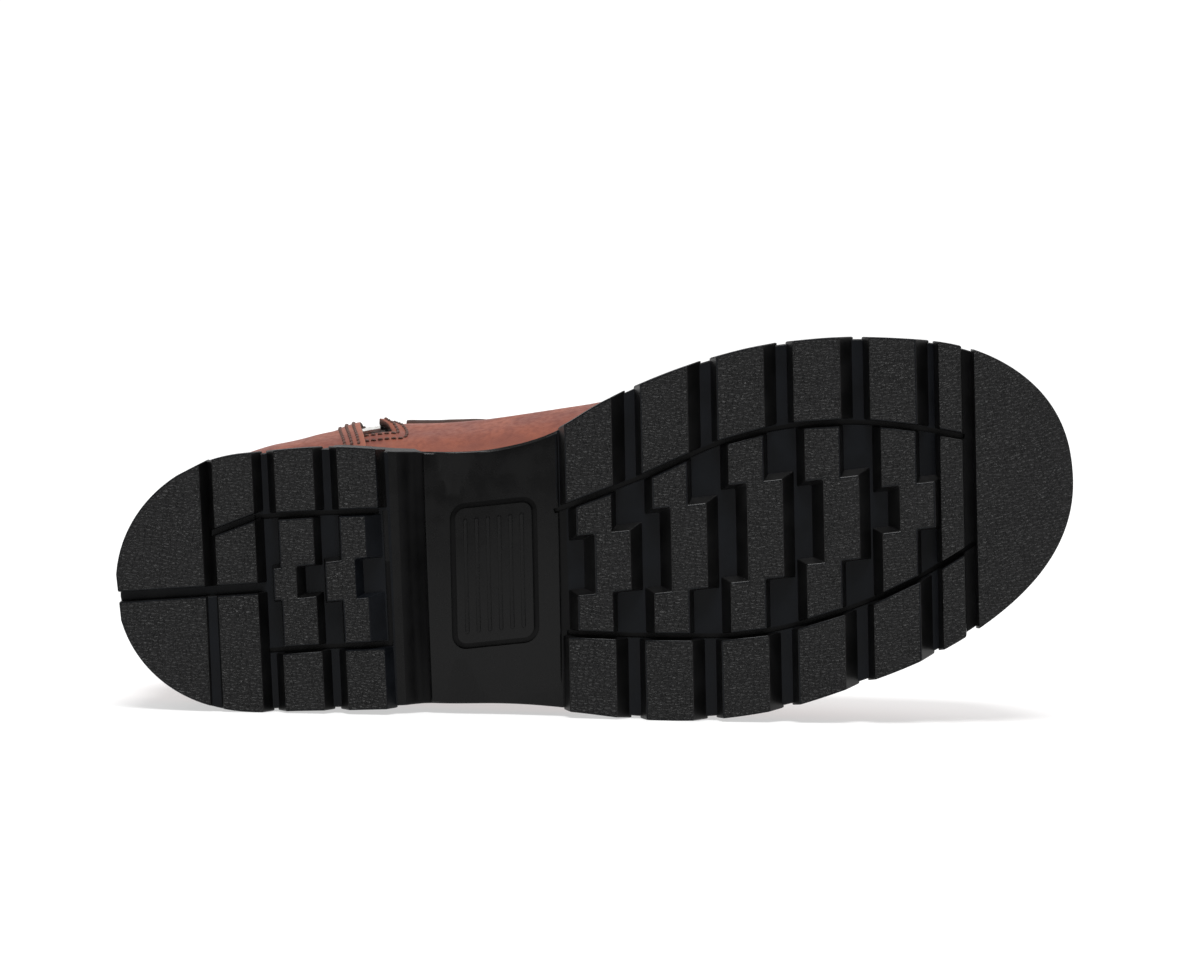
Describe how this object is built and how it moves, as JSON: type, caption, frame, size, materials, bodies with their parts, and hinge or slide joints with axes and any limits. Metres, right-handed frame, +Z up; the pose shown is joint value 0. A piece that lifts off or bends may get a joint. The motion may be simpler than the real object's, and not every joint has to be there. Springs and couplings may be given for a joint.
{
  "type": "side-zip work boot",
  "caption": "Left ankle-high work boot lying on its outer side: lugged one-piece rubber outsole, hollow leather upper with a padded collar and a closed side zip whose tab swings.",
  "frame": {"origin": "middle of the boot's footprint on the floor, lying on its outer side", "axes": "+X from heel to toe, -Y the way the tread faces, +Z up through the medial side with the zip"},
  "size_m": [0.3042, 0.1874, 0.1232],
  "materials": {
    "rubber": "matt moulded black rubber with a fine pebbled grain",
    "footbed": "felted textile footbed",
    "leather": "smooth red-brown leather, soft satin",
    "collar_leather": "soft dark brown padded leather",
    "zip_tape": "woven dark brown tape",
    "zip_metal": "bright nickel-plated zip metal"
  },
  "bodies": {
    "boot": {"outsole": "rubber", "insole": "footbed", "upper": "leather", "heel_counter": "leather", "collar": "collar_leather", "zip_tape": "zip_tape", "zip_chain": "zip_metal", "zip_stop": "zip_metal", "zip_slider": "zip_metal"},
    "pull": {"zip_pull": "zip_metal"}
  },
  "joints": [
    {"name": "pull_swing", "type": "hinge", "parent": "boot", "child": "pull", "pos_m": [-0.07496, 0.07777, 0.08683], "axis": [-0.9893, -0.0353, -0.1413], "range_deg": [0, 150]}
  ]
}
